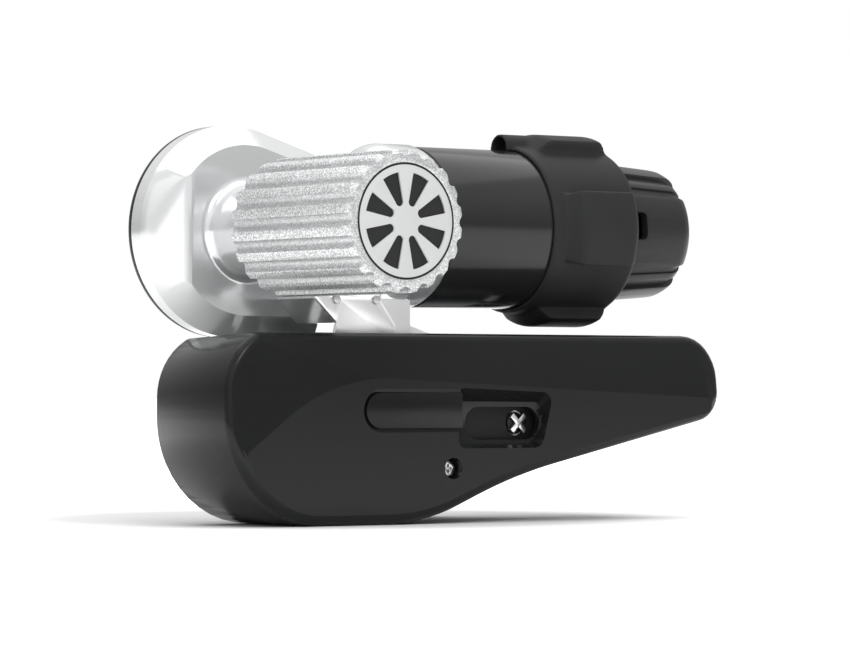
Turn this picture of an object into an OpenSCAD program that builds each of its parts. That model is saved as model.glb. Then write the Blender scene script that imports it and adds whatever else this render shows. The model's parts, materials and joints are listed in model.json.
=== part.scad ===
// Caravan motor mover: a ribbed friction roller, its gearbox and motor ride on a carriage,
// which a hand spindle behind the moulded cover slides towards the tyre.
// Frame: the origin is the middle of the chassis bolts on the rear face of the back plate,
// -Y faces away from the vehicle, -X points to the tyre and +Z is up. Sizes are millimetres.

/* [Roller] */
// Outer diameter of the drive roller
roller_d = 65; // [61:0.5:69]
// Length of the drive roller
roller_len = 96.7; // [85:0.1:108]
// Roller axis, distance left of the origin
roller_x = 70; // [69:0.5:72]
// Roller axis, height above the origin
roller_z = 92; // [91:0.5:95]
// Rear end of the roller, distance in front of the back plate
roller_back = 63.3; // [63:0.1:66]
// Number of grip grooves
groove_count = 20; // [14:1:22]
// Radius of a grip groove
groove_r = 2.9; // [2:0.1:3.2]
// Chamfer at both ends of the roller
roller_chamfer = 2; // [0.5:0.1:3]
// Diameter of the mouth that takes the end cap
cap_d = 52.6; // [48:0.1:54]
// Depth of the mouth behind the end cap
mouth_depth = 20; // [16:0.5:30]
// Thickness of the end cap
cap_t = 4; // [3:0.1:6]
// Diameter of the spoked trim disc
trim_d = 50.8; // [44:0.1:51.5]
// Thickness of the trim disc
trim_t = 1; // [0.6:0.1:1.5]
// Number of windows in the trim disc
window_count = 8; // [5:1:10]
// Outer radius of a window
window_r = 22.1; // [18:0.1:23]
// Half angle of a window
window_half = 12.5; // [6:0.25:14]

/* [Gearbox] */
// Radius of the housing round the roller axis
case_r = 50.5; // [49:0.25:53]
// Radius of the flat front face of the housing
face_r = 40.5; // [39.5:0.25:42]
// Front face of the housing, distance in front of the back plate
face_y = 29; // [28.5:0.1:31]
// Rear face of the housing cover, distance in front of the back plate
case_back = 4; // [3:0.1:5]
// Depth of the straight side wall
side_depth = 9; // [6:0.1:11]
// Slope of the top edge
top_slope = 17.2; // [14:0.2:20]
// Wall of the housing
case_wall = 2.4; // [1.6:0.1:2.8]
// Thickness of the rear cover
rear_cover_t = 2; // [1.5:0.1:2.5]
// Thickness of the gasket
gasket_t = 0.6; // [0.4:0.1:0.8]
// Radius of the neck that carries the roller bearing
neck_r = 21; // [20.5:0.1:22]
// Fillet at the foot of the neck
neck_fillet = 5; // [3:0.5:6]
// Underside of the foot that carries the carriage plate, height above the origin
foot_z = 48; // [47:0.5:50]
// Front of that foot, distance in front of the back plate
foot_y = 60.5; // [59.5:0.25:60.75]
// Teeth of the crown gear on the roller shaft
crown_teeth = 36; // [36:1:36]
// Teeth of the pinion on the carrier
pinion_teeth = 20; // [20:1:20]
// Module of the crown gear and its pinion
crown_module = 1.7; // [1.67:0.01:1.7]

/* [Motor] */
// Motor axis, distance in front of the back plate
motor_y = 42; // [41.8:0.1:42.4]
// Motor axis, height above the roller axis
motor_lift = 3; // [1:0.25:4]
// Radius of the motor tube
motor_r = 39; // [38:0.25:40.5]
// Wall of the motor tube
tube_wall = 3; // [2:0.1:3.5]
// Left end of the motor tube, distance right of the origin
tube_x = 14.3; // [13.5:0.1:15]
// Right end of the motor tube, distance right of the origin
tube_end = 122; // [120:0.5:125]
// Height of the flange rim above the motor tube
flange_rim = 0.8; // [0.5:0.1:1.5]
// Rounding of the flange shoulder
shoulder_r = 9; // [6:0.25:10]
// Left face of the flange, distance left of the origin
flange_x = 14.5; // [14:0.25:15.5]
// Teeth of the sun pinion
sun_teeth = 12; // [12:1:12]
// Teeth of a planet gear
planet_teeth = 18; // [18:1:18]
// Radius of the motor tube in modules of the planet stage
tube_modules = 31.2; // [30.5:0.1:32.5]
// Radius of the armature core
core_r = 22; // [19:0.25:22.5]
// Length of the armature core
core_len = 56; // [50:1:57]

/* [Boot and end cap] */
// Left rim of the rubber boot, distance right of the origin
boot_x = 72; // [70:0.25:75]
// Right rim of the rubber boot, distance right of the origin
boot_end = 127; // [126:0.25:130]
// Wall of the boot sleeve
boot_wall = 2; // [1.5:0.1:3]
// Height of a boot pad above the motor tube
pad_height = 8.5; // [5:0.1:9]
// Half angle of a boot pad
pad_half = 23; // [20:0.5:32]
// Left foot of a boot pad, distance right of the boot's rim
pad_start = 6; // [4:0.5:8]
// Slope length at the left of a pad
pad_slope = 8; // [4:0.5:10]
// How far the end cap lobes lie inside the motor tube's radius
cap_inset = 4.2; // [3.8:0.1:6]
// Depth of the grooves between the lobes
lobe_step = 2; // [1.5:0.1:3]
// Half angle of a lobe
lobe_half = 32; // [28:0.5:36]
// Taper of the end cap, on the radius
cap_taper = 2.6; // [1:0.1:3]
// Right end of the end cap, distance right of the origin
end_cap_end = 168.3; // [160:0.1:176]
// Wall of the end cap
end_cap_wall = 3; // [2.4:0.1:3.5]

/* [Cover] */
// Left end of the cover, distance left of the origin
cover_left = 124.4; // [120:0.2:128]
// Right end of the cover, distance right of the origin
cover_right = 162.5; // [158:0.5:168]
// Top edge of the front panel, height above the origin
cover_top = 43; // [42.5:0.25:44]
// Bottom of the cover, depth below the origin
cover_bottom = 46.5; // [45:0.5:50]
// Front of the cover, distance in front of the back plate
cover_y = 100; // [99:0.25:102]
// Rear rim of the cover, distance in front of the back plate
cover_back = 36; // [33:0.5:40]
// How far the top drops towards the rear rim
top_drop = 2.5; // [0:0.25:2.5]
// Wall of the cover
cover_wall = 3; // [2:0.1:3.4]
// Rounding round the front panel
rim_r = 4; // [3:0.25:5]
// Backward slope of the upper front band
band_slope = 0.14; // [0.05:0.01:0.2]
// Depth of the tool pocket
pocket_depth = 6.5; // [5:0.1:7]
// Right end of the tool pocket, distance right of the origin
pocket_right = 58.5; // [58:0.25:60]
// Length of the name plate
plate_len = 55; // [48:0.25:57]
// Height of the name plate
plate_h = 16.7; // [14:0.1:18]
// Thickness of the name plate
plate_t = 1.5; // [1:0.1:2]
// Cover screw, depth below the origin
screw_drop = 20.6; // [19:0.2:22]
// Diameter of the recess of the cover screw
screw_recess_d = 10; // [9:0.1:11]

/* [Frame and slide] */
// Travel of the drive unit towards the tyre
travel = 26; // [20:0.5:27]
// Thickness of the back plate
plate_thick = 6; // [5:0.25:7]
// Width of the bolt pattern
bolt_x = 80; // [70:1:84]
// Height of the bolt pattern
bolt_z = 40; // [36:1:42]
// Diameter of a chassis bolt hole
bolt_d = 11; // [8.5:0.5:13]
// Diameter of a guide rod
rod_d = 12; // [10:0.5:13]
// Height of the guide rods above the origin
rod_z = 26; // [25.5:0.25:26.5]
// Front guide rod, distance in front of the back plate
rod_front = 72; // [71.5:0.25:73]
// Rear guide rod, distance in front of the back plate
rod_rear = 26; // [25:0.25:28]
// Wall of a slide bush
bush_wall = 2; // [1.5:0.1:2.4]
// Thickness of a cheek
cheek_t = 8; // [7:0.25:9]
// Width of the slide blocks along the rods
block_w = 62; // [60:0.5:64]
// Thickness of the carriage plate
sheet_t = 2; // [1.5:0.1:2.4]
// Spindle axis, distance right of the origin
spindle_x = 45.2; // [44.8:0.1:45.8]
// Spindle axis, height above the origin
spindle_z = 0.5; // [0:0.1:1]
// Diameter of the lead screw
screw_d = 10; // [9:0.25:11]
// Lead screw, distance in front of the back plate
screw_y = 70.5; // [70.4:0.1:71]
// Module of the spindle gears
spindle_module = 1.1; // [1.05:0.01:1.12]
// Reach of the cross head from tip to tip
cross_reach = 11; // [9:0.25:12]
// Width of an arm of the cross head
cross_arm = 2.6; // [2:0.1:3]

/* [Fits] */
// Running clearance of a shaft, on the radius
run_gap = 0.05; // [0.02:0.01:0.08]
// Free gap between pieces that pass each other
free_gap = 0.5; // [0.4:0.05:0.6]
// Side play of the gear teeth
tooth_play = 0.5; // [0.4:0.05:0.6]

/* [Hidden] */
$fn = 64;
over = 1;
pressure = 20;
addendum = 0.8;
dedendum = 1.1;

// Roller axis stations, front is the larger distance
rx = -roller_x;
rz = roller_z;
roller_front = roller_back + roller_len;
mouth_floor = roller_front - mouth_depth;
cap_r = cap_d / 2;
shaft_r = 8.5;
roller_bore = 10;
key_half = 3;
bolt_r = 4;
bolt_room = 14;
tail_r = 5;
bearing_r = 17.5;
bearing_w = 10;
tail_bearing_r = 13;
tail_bearing_w = 7;
tail_wall = 3;
neck_y = roller_back - 2.3;
seal_w = 4;
front_bearing_y = neck_y - seal_w - bearing_w - 2;
case_front_y = face_y - case_wall;
case_right = -flange_x - 8;
case_y = case_back + rear_cover_t + gasket_t;
facet_x = rx - 31.1;
facet_turn = 31.6;
facet_size = 60;
lid_screw_r = 2;
tail_y = case_back + rear_cover_t;

// Crown gear and pinion stations
crown_r = crown_module * crown_teeth / 2;
pinion_r = crown_module * pinion_teeth / 2;
mesh_y = motor_y - pinion_r;
crown_face = 4;
crown_web = 7;
crown_skew = 6;
crown_add = 0.6;
crown_play = 0.38;
cavity_r = crown_r + crown_face / 2 + 0.4;
mz = rz + motor_lift;
mesh_x = rx + sqrt(crown_r * crown_r - motor_lift * motor_lift);
pinion_len = 5;
tunnel_r = pinion_r + crown_add * crown_module + 1;
tunnel_x = mesh_x - pinion_len / 2 - 1;
out_bearing_r = 14;
out_bore_r = out_bearing_r - 2;
out_bearing_w = 8;
out_bearing_x = mesh_x + pinion_len / 2 + 2;
out_shaft_r = 6;
rear_tunnel_r = 28;

// Planet stage stations
planet_module = motor_r / tube_modules;
planet_r = planet_module * planet_teeth / 2;
sun_r = planet_module * sun_teeth / 2;
orbit_r = sun_r + planet_r;
ring_teeth = sun_teeth + 2 * planet_teeth;
ring_inset = 4;
ring_out_r = motor_r - ring_inset;
ring_x = -6.5;
ring_end = 10;
planet_x = ring_x + free_gap;
planet_end = ring_end - free_gap;
carrier_t = 5;
carrier_x = ring_x - free_gap - carrier_t;
carrier_r = orbit_r + 5.5;
pin_r = 3;
planet_count = 3;

// Motor stations
tube_bore = motor_r - tube_wall;
flange_r = motor_r + flange_rim;
flange_bevel = 4;
motor_shaft_r = 4;
motor_bearing_r = 11;
motor_bearing_w = 7;
front_plate_x = tube_x;
bell_t = 14;
bell_x = tube_end - bell_t;
rear_bearing_x = bell_x + 4;
magnet_gap = 1;
magnet_t = tube_bore - run_gap - core_r - magnet_gap;
core_x = front_plate_x + motor_bearing_w + 11;
magnet_count = 4;
magnet_half = 34;
comm_r = 12;
comm_x = core_x + core_len + 4;
comm_len = 11;
brush_w = 6;

// Boot and cable outlet
boot_r = motor_r + boot_wall;
pad_r = motor_r + pad_height;
pad_count = 4;
grip_r = motor_r + run_gap;
end_cap_r = motor_r - cap_inset;
lip_r = end_cap_r + 2.8;
lip_bore = end_cap_r + run_gap;
pad_x = boot_x + pad_start;
snout_w = 14;
snout_h = 8;
snout_out = 3.7;
snout_wall = 1.2;
cap_fillet = 10;
lobe_count = 4;
lobe_end = 1;
lobe_in = 8;
rib_half = 4;
cap_hollow = 6;
hand_slot_h = 13.6;
hand_slot_w = 7.4;
hand_slot_round = 2.5;
hand_slot_drop = 4.5;

// Carriage stations
block_x = 4;
block_top = rod_z + 11;
block_low = rod_z - 11;
sheet_front = foot_y + sheet_t;
block_front = 86;
block_back = 16;
bush_r = rod_d / 2 + bush_wall;
crown2_teeth = 18;
pinion2_teeth = 12;
crown2_r = spindle_module * crown2_teeth / 2;
pinion2_r = spindle_module * pinion2_teeth / 2;
mesh2_y = screw_y + pinion2_r;
crown2_root = mesh2_y + dedendum * spindle_module;
crown2_back = crown2_root + 4;
crown2_face = 4;
pinion2_x = spindle_x - crown2_r;
pinion2_len = 7;
chamber_r = crown2_r + crown2_face / 2 + 1.5;
chamber_wall = 3.5;
spindle_r = 5;
journal_r = 4;
screw_r = screw_d / 2;
screw_bush_wall = 2.5;
collar_r = screw_r + 3;
collar_t = 1.8;
screw_bush_x = block_x + 2;
screw_bush_end = pinion2_x - pinion2_len / 2 - collar_t - free_gap;
shutter_t = 1.5;
cross_out = 2.5;
cross_depth = block_front + shutter_t + cross_out;

// Frame stations
left_cheek_x = -60;
right_cheek_x = 92;
back_low = -34;
back_right = 58;
cheek_front = 88;
cheek_top = rod_z + 10;
cheek_low = -14;
cheek_drop = 14;
right_cheek_low = rod_z - cheek_drop;
clip_t = 1.5;
screw_tip = left_cheek_x - 6;
nut_r = 9;
nut_flange_r = 12;
nut_flange_t = 4;
nut_len = cheek_t + nut_flange_t + 2;
post_r = 4;
post_x = -0.4;
post_hole = 20;
screw_seat = 2;
crease_reach = 50;
crease_lift = 37;
crease_r = 95;
ramp_run = 30;
washer_r = 15;
brush_gap = 0.3;
brush_len = 13.7;
cover_screw_r = 2;
post_y = cover_y - cover_wall - pocket_depth;
rivet_z = foot_z + 11.1;
foot_left = -53;
foot_right = 1;
foot_tip = -41.2;
foot_rise = 11.5;
rivet_r = 1.6;
rivet_depth = 8;
rivet_places = [-41.4, -18.6];

// Cover stations
pocket_left = 2.6;
pocket_low = -11.2;
pocket_top = 17.4;
slot_r = 7.8;
slot_left = spindle_x - travel - cross_reach / 2 - 3;
slot_right = spindle_x + 9.1;
plate_right = 5.2;
plate_gap = 1.8;
plate_sink = 0.3;
plate_z = -1.7;
arc_steps = 8;
band_limit = 20;
field_margin = 0.8;
lobe_r = 31;
lobe_run = 17.5;
lobe_fall = 10.4;
corner_r = 8;
belly_r = 50;
nose_low = 3.6;
waist = [38, -24.3];
heel_x = -16;
crease_start = 205;
crease_tip = 3.2;
rim_steps = 4;
floor_y = cover_y - pocket_depth;
hollow_y = cover_y - band_slope * band_limit - cover_wall;
opening_left = -82;
opening_right = 72;
opening_y = sheet_front + 6;

// Depths are measured in front of the back plate, so a depth d lies at y = -d

// Plain disc along Y between two depths
module disc_y(x, z, r, front, back) {
    translate([x, -front, z]) rotate([-90, 0, 0]) cylinder(r = r, h = front - back);
}

// Plain disc along X on the motor axis
module disc_m(r, x0, x1) {
    translate([x0, -motor_y, mz]) rotate([0, 90, 0]) cylinder(r = r, h = x1 - x0);
}

// Disc along X at any place
module disc_x(y, z, r, x0, x1) {
    translate([x0, y, z]) rotate([0, 90, 0]) cylinder(r = r, h = x1 - x0);
}

// Ring along Y between two depths
module ring_y(x, z, r, bore, front, back) {
    difference() {
        disc_y(x, z, r, front, back);
        disc_y(x, z, bore, front + over, back - over);
    }
}

// Ring along X on the motor axis
module ring_m(r, bore, x0, x1) {
    difference() {
        disc_m(r, x0, x1);
        disc_m(bore, x0 - over, x1 + over);
    }
}

// Front outline in x and z, drawn between two depths
module slab(front, back) {
    translate([0, -back, 0]) rotate([90, 0, 0]) linear_extrude(front - back) children();
}

// Profile in radius and x, turned about the motor axis
module turned_m() {
    translate([0, -motor_y, mz]) rotate([0, 90, 0]) rotate_extrude() children();
}

// Profile in radius and x, turned through a part of a turn about the motor axis
module sector_m(middle, half) {
    translate([0, -motor_y, mz]) rotate([0, 90, 0])
        rotate([0, 0, middle - half]) rotate_extrude(angle = 2 * half) children();
}

// Profile in radius and depth, turned about the roller axis
module turned_r() {
    translate([rx, 0, rz]) rotate([90, 0, 0]) rotate_extrude() children();
}

// Box from one corner to the other
module box(low, high) {
    translate(low) cube(high - low);
}

// Involute of an angle, in degrees
function inv(a) = tan(a) * 180 / PI - a;
function polar(r, a) = [r * cos(a), r * sin(a)];

// Half angle of a tooth at radius r, from its half angle at the pitch radius rp
function tooth_half(r, rp, half) = half + inv(pressure) - inv(acos(min(1, rp * cos(pressure) / r)));

// Gear outline with n teeth of module m, tip and root measured from the pitch circle
function gear_outline(n, m, tip, root, play) =
    let (rp = n * m / 2, base = rp * cos(pressure), low = max(base, rp - root))
    let (half = 90 / n - play / 2 / rp * 180 / PI)
    let (radii = [low, (low + rp + tip) / 2, rp + tip])
    [for (k = [0 : n - 1]) let (c = 360 * k / n) each concat(
        [polar(rp - root, c - tooth_half(low, rp, half))],
        [for (r = radii) polar(r, c - tooth_half(r, rp, half))],
        [for (i = [2 : -1 : 0]) polar(radii[i], c + tooth_half(radii[i], rp, half))],
        [polar(rp - root, c + tooth_half(low, rp, half))])];

// Spur gear on Z with its teeth from 0 to length
module spur(n, m, tip, length, bore) {
    difference() {
        linear_extrude(length)
            polygon(gear_outline(n, m, tip * m, dedendum * m, tooth_play / 2));
        translate([0, 0, -over]) cylinder(r = bore, h = length + 2 * over);
    }
}

// Crown gear on Z: teeth on the face at z = 0 point to +Z, slots run beside the centre by shift
module crown(n, m, tip, face, web, bore, shift, skews) {
    rp = n * m / 2;
    half = PI * m / 4 + crown_play;
    lean = tan(pressure);
    top = tip * m;
    low = dedendum * m;
    difference() {
        translate([0, 0, -web - low]) cylinder(r = rp + face / 2, h = web + low + top);
        translate([0, 0, -low]) cylinder(r = rp - face / 2, h = low + top + over);
        translate([0, 0, -web - low - over]) cylinder(r = bore, h = web + low + 2 * over);
        for (k = [0 : n - 1])
            for (skew = skews)
                rotate([0, 0, 360 * k / n]) translate([sqrt(rp * rp - shift * shift), shift, 0])
                    rotate([0, 0, skew]) rotate([90, 0, 90]) linear_extrude(2 * face, center = true)
                        polygon([[-half + low * lean, -low], [half - low * lean, -low],
                            [half + 2 * top * lean, 2 * top], [-half - 2 * top * lean, 2 * top]]);
    }
}

module back_plate() {
    color("dimgray") difference() {
        union() {
            box([left_cheek_x, -plate_thick, back_low], [back_right, 0, cheek_top]);
            box([back_right - over, -plate_thick, right_cheek_low], [right_cheek_x + cheek_t, 0, cheek_top]);
        }
        for (sx = [-1, 1])
            for (sz = [-1, 1])
                disc_y(sx * bolt_x / 2, sz * bolt_z / 2, bolt_d / 2, plate_thick + over, -over);
    }
}

// Cheek that carries the guide rods, from the back plate forwards
module cheek(x, low) {
    difference() {
        box([x, -cheek_front, low], [x + cheek_t, -plate_thick, cheek_top]);
        for (y = [rod_front, rod_rear])
            disc_x(-y, rod_z, rod_d / 2, x - over, x + cheek_t + over);
    }
}

module left_cheek() {
    color("dimgray") difference() {
        cheek(left_cheek_x, cheek_low);
        disc_x(-screw_y, spindle_z, nut_r, left_cheek_x - over, left_cheek_x + cheek_t + over);
    }
}

module right_cheek() {
    color("dimgray") cheek(right_cheek_x, right_cheek_low);
}

module guide_rods() {
    color("silver") for (y = [rod_front, rod_rear])
        disc_x(-y, rod_z, rod_d / 2, left_cheek_x - 3, right_cheek_x + cheek_t + 3);
}

module rod_clips() {
    color("gray") for (y = [rod_front, rod_rear])
        for (x = [left_cheek_x - clip_t, right_cheek_x + cheek_t])
            difference() {
                disc_x(-y, rod_z, rod_d / 2 + 2.5, x, x + clip_t);
                disc_x(-y, rod_z, rod_d / 2, x - over, x + clip_t + over);
            }
}

module screw_nut() {
    color("darkgoldenrod") difference() {
        union() {
            disc_x(-screw_y, spindle_z, nut_r, left_cheek_x, left_cheek_x + nut_len);
            disc_x(-screw_y, spindle_z, nut_flange_r, left_cheek_x + cheek_t,
                left_cheek_x + cheek_t + nut_flange_t);
        }
        disc_x(-screw_y, spindle_z, screw_r + run_gap, left_cheek_x - over, left_cheek_x + nut_len + over);
    }
}

module cover_post() {
    color("dimgray") difference() {
        disc_y(post_x, -screw_drop, post_r, post_y, plate_thick);
        disc_y(post_x, -screw_drop, cover_screw_r, post_y + over, post_y - post_hole);
    }
}

// Corners of the cover outline as x, z, rounding and the share of the arc before its split, 1 for none
function cover_corners(drop) = [
    [-cover_left, cover_top - drop - lobe_fall, lobe_r, 1],
    [-cover_left + lobe_run, cover_top - drop, corner_r, 1],
    [cover_right, cover_top - drop, 21, 1], [cover_right, nose_low, 15, 1],
    [waist[0], waist[1], 280, 1], [heel_x, -cover_bottom, 110, 1],
    [-cover_left, -cover_bottom, belly_r, (270 - crease_start) / 90]];

// Corners of the flat lower field of the front panel, bounded above by the crease
function field_corners() =
    let (sweep = 270 - crease_start, r = belly_r - rim_r)
    let (middle = [-cover_left + belly_r, -cover_bottom + belly_r])
    let (low = middle + polar(r / cos(sweep / 2), crease_start + sweep / 2))
    let (start = middle + polar(r, crease_start) + polar(crease_tip, crease_start - 90))
    [[start[0] + crease_reach, start[1] + crease_lift, crease_r, 0.5],
        [cover_right - 5.5, nose_low + 9.6, rim_r, 1], [cover_right - 5.5, nose_low + 1.4, rim_r, 1],
        [waist[0], waist[1] + rim_r, 276, 1], [heel_x - 1, -cover_bottom + rim_r, 106, 1],
        [low[0], low[1], r, 1], [start[0], start[1], rim_r, 1]];

function unit(v) = v / norm(v);

// Shares of an arc at which points lie, in two runs where the arc is split
function shares(split) = concat(
    [for (s = [0 : arc_steps]) split * s / arc_steps],
    split < 1 ? [for (s = [1 : arc_steps + 1]) split + (1 - split) * s / (arc_steps + 1)] : []);

// Rounded outline through corners, drawn in by inset, in arc_steps pieces a corner
function rounded(corners, inset) =
    let (n = len(corners))
    [for (i = [0 : n - 1])
        let (b = [corners[i][0], corners[i][1]], r = corners[i][2])
        let (a = corners[(i + n - 1) % n], c = corners[(i + 1) % n])
        let (u = unit([a[0], a[1]] - b), v = unit([c[0], c[1]] - b))
        let (half = acos(u * v) / 2, turn = sign(cross(v, u)))
        let (middle = b + unit(u + v) * r / sin(half), start = b + u * r / tan(half) - middle)
        let (first = atan2(start[1], start[0]), sweep = turn * (180 - 2 * half))
        for (s = shares(corners[i][3]))
            middle + polar(r + turn * inset, first + sweep * s)];

// Points of an outline at a list of depths
function at_depth(outline, depths) = [for (i = [0 : len(outline) - 1])
    [outline[i][0], -depths[i], outline[i][1]]];

// Cover shell: flat field, sloping band, rounded rim and straight sides, then the hollow behind them
module cover_shell() {
    field = rounded(field_corners(), field_margin);
    edge = rounded(cover_corners(0), rim_r);
    n = len(field);
    fall = [for (i = [0 : n - 1]) cover_y - band_slope * min(norm(field[i] - edge[i]), band_limit)];
    rims = [for (s = [0 : rim_steps]) let (t = 90 * s / rim_steps)
        at_depth(rounded(cover_corners(top_drop * rim_r * (1 - cos(t)) / (cover_y - cover_back)),
            rim_r * (1 - sin(t))), [for (f = fall) f - rim_r * (1 - cos(t))])];
    outside = rounded(cover_corners(top_drop), 0);
    inside = rounded(cover_corners(top_drop), cover_wall);
    rings = concat([at_depth(field, [for (f = fall) cover_y])], rims,
        [at_depth(outside, [for (f = fall) cover_back])], [at_depth(inside, [for (f = fall) cover_back])],
        [at_depth(inside, [for (f = fall) hollow_y])]);
    last = len(rings) - 1;
    apex = 2 * arc_steps + 1;
    polyhedron(
        points = [for (ring = rings) each ring],
        faces = concat(
            [[for (i = [0 : n - 1]) (apex + i) % n]],
            [for (k = [0 : last - 1]) for (i = [0 : n - 1]) let (j = (i + 1) % n)
                each [[k * n + j, k * n + i, k * n + n + j], [k * n + n + j, k * n + i, k * n + n + i]]],
            [[for (i = [n : -1 : 1]) last * n + (apex + i) % n]]));
}

// Corners of the tool pocket at the front of the cover and at its floor
function pocket_corners() = [[pocket_left, pocket_top, 3.5, 1], [pocket_right, pocket_top - 2.4, 5, 1],
    [pocket_right - 6.7, pocket_low, 6, 1], [pocket_left, pocket_low, 4, 1]];
function floor_corners() = [[pocket_left + 2.6, pocket_top - 6.4, 2, 1],
    [pocket_right - 2.7, pocket_top - 6.9, 3, 1], [pocket_right - 7, pocket_low + 2, 4, 1],
    [pocket_left + 2.6, pocket_low + 2, 3, 1]];

// Stadium outline in x and z
module stadium(x0, x1, z, r) {
    translate([x0 + r, z]) circle(r = r);
    translate([x1 - r, z]) circle(r = r);
    translate([x0 + r, z - r]) square([x1 - x0 - 2 * r, 2 * r]);
}

// Name plate outline, round at its left end
module plate_outline(grow) {
    r = plate_h / 2 + grow;
    translate([plate_right - plate_len + plate_h / 2, plate_z + plate_h / 2]) circle(r = r);
    translate([plate_right - plate_len + plate_h / 2, plate_z - grow])
        square([plate_len - plate_h / 2, plate_h + 2 * grow]);
}

module cover() {
    color([0.21, 0.22, 0.215]) difference() {
        union() {
            cover_shell();
            slab(hollow_y + over, floor_y - cover_wall)
                translate([pocket_left - cover_wall, pocket_low - cover_wall])
                    square([pocket_right - pocket_left + 2 * cover_wall,
                        pocket_top - pocket_low + 2 * cover_wall]);
            disc_y(post_x, -screw_drop, screw_recess_d / 2 + 2, hollow_y + over, post_y);
        }
        hull() {
            slab(cover_y + over, cover_y) polygon(rounded(pocket_corners(), 0));
            slab(floor_y + 0.1, floor_y) polygon(rounded(floor_corners(), 0));
        }
        slab(floor_y + over, floor_y - cover_wall - over) stadium(slot_left, slot_right, spindle_z, slot_r);
        slab(cover_y + over, cover_y - plate_t - plate_sink) plate_outline(plate_gap);
        disc_y(post_x, -screw_drop, screw_recess_d / 2, cover_y + over, post_y + screw_seat);
        disc_y(post_x, -screw_drop, cover_screw_r + 0.2, cover_y + over, post_y - over);
        box([opening_left, -opening_y, cover_top - 12],
            [opening_right, -cover_back + over, cover_top + over]);
    }
}

module name_plate() {
    color([0.08, 0.08, 0.08]) slab(cover_y - plate_sink, cover_y - plate_sink - plate_t) plate_outline(0);
}

module cover_screw() {
    head = 3.2;
    color("silver") difference() {
        union() {
            disc_y(post_x, -screw_drop, 3.6, post_y + screw_seat + head, post_y + screw_seat);
            disc_y(post_x, -screw_drop, cover_screw_r, post_y + screw_seat + over, post_y - post_hole + 2);
        }
        for (turn = [0, 90])
            translate([post_x, -post_y - screw_seat - head, -screw_drop]) rotate([0, turn, 0])
                cube([4, 3, 0.9], center = true);
    }
}

// Front outline of the gearbox: round at the roller, a sloping top and a flat foot
module case_outline(r, right) {
    touch = polar(r, 90 - top_slope);
    edge = right - rx;
    translate([rx, rz]) {
        circle(r = r, $fn = 96);
        polygon([[0, -r], [edge, -r], [edge, touch[1] - (edge - touch[0]) * tan(top_slope)], touch, [0, 0]]);
    }
}

module gearbox_housing() {
    side_front = case_y + side_depth - gasket_t;
    color("gainsboro") difference() {
        union() {
            slab(side_front, case_y) case_outline(case_r, case_right);
            hull() {
                slab(side_front, side_front - 0.1) case_outline(case_r, case_right);
                slab(face_y, face_y - 0.1) case_outline(face_r, case_right - 6);
            }
            disc_y(rx, rz, neck_r, neck_y, case_y + over);
            turned_r() difference() {
                translate([neck_r - over, face_y - over]) square([neck_fillet + over, neck_fillet + over]);
                translate([neck_r + neck_fillet, face_y + neck_fillet]) circle(r = neck_fillet);
            }
            disc_m(tunnel_r + case_wall, tunnel_x - case_wall, out_bearing_x);
            disc_m(rear_tunnel_r, out_bearing_x - 3, -flange_x);
            slab(foot_y, face_y - over) foot_outline();
        }
        disc_y(rx, rz, cavity_r, case_front_y, case_y - over);
        disc_y(rx, rz, bearing_r, neck_y + over, front_bearing_y);
        disc_y(rx, rz, bearing_r - 3, front_bearing_y + over, case_front_y - over);
        disc_m(tunnel_r, tunnel_x, out_bearing_x);
        disc_m(out_bearing_r, out_bearing_x - over, out_bearing_x + out_bearing_w);
        disc_m(out_bore_r, out_bearing_x, -flange_x + over);
        translate([facet_x, -face_y, rz - case_r]) rotate([0, 0, -facet_turn])
            translate([-facet_size, -facet_size, 0]) cube([facet_size, facet_size, 2 * case_r]);
        for (x = rivet_places)
            disc_y(x, rivet_z, rivet_r, foot_y + over, foot_y - rivet_depth);
        disc_y(rx, rz, roller_d / 2 + over, roller_front, roller_back - over);
    }
}

// Outline of the foot under the gearbox, with a slanted left side
module foot_outline() {
    top = mz - 14;
    polygon([[foot_left, top], [foot_left, foot_z + foot_rise], [foot_tip, foot_z], [-flange_x, foot_z],
        [-flange_x, top]]);
}

module rear_cover() {
    color([0.1, 0.1, 0.1]) difference() {
        union() {
            slab(tail_y, case_back) case_outline(case_r, case_right);
            disc_y(rx, rz, tail_bearing_r + tail_wall, tail_y + tail_bearing_w, tail_y);
        }
        disc_y(rx, rz, tail_bearing_r, tail_y + tail_bearing_w + over, tail_y);
        for (p = screw_places())
            disc_y(p[0], p[1], lid_screw_r, tail_y + over, case_back - over);
    }
}

// Places of the rear cover screws on a circle inside the rim
function screw_places() = [for (k = [0 : 6])
    let (p = polar((case_r + cavity_r) / 2, 75 + 34 * k)) [rx + p[0], rz + p[1]]];

module gasket() {
    color([0.05, 0.05, 0.05]) difference() {
        slab(case_y, tail_y) case_outline(case_r, case_right);
        disc_y(rx, rz, cavity_r, case_y + over, tail_y - over);
        for (p = screw_places())
            disc_y(p[0], p[1], lid_screw_r, case_y + over, tail_y - over);
    }
}

module rear_cover_screws() {
    color("silver") for (p = screw_places()) {
        disc_y(p[0], p[1], lid_screw_r, case_y, case_back);
        disc_y(p[0], p[1], lid_screw_r + 1.5, case_back, case_back - 2.4);
    }
}

module tail_bearing() {
    color("lightgray") ring_y(rx, rz, tail_bearing_r, tail_r + run_gap, tail_y + tail_bearing_w, tail_y);
}

module neck_bearing() {
    color("lightgray")
        ring_y(rx, rz, bearing_r, shaft_r + run_gap, front_bearing_y + bearing_w, front_bearing_y);
}

module shaft_seal() {
    color([0.1, 0.1, 0.1]) ring_y(rx, rz, bearing_r, roller_bore + run_gap, neck_y, neck_y - seal_w);
}

module output_bearing() {
    color("lightgray")
        ring_m(out_bearing_r, out_shaft_r + run_gap, out_bearing_x, out_bearing_x + out_bearing_w);
}

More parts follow.
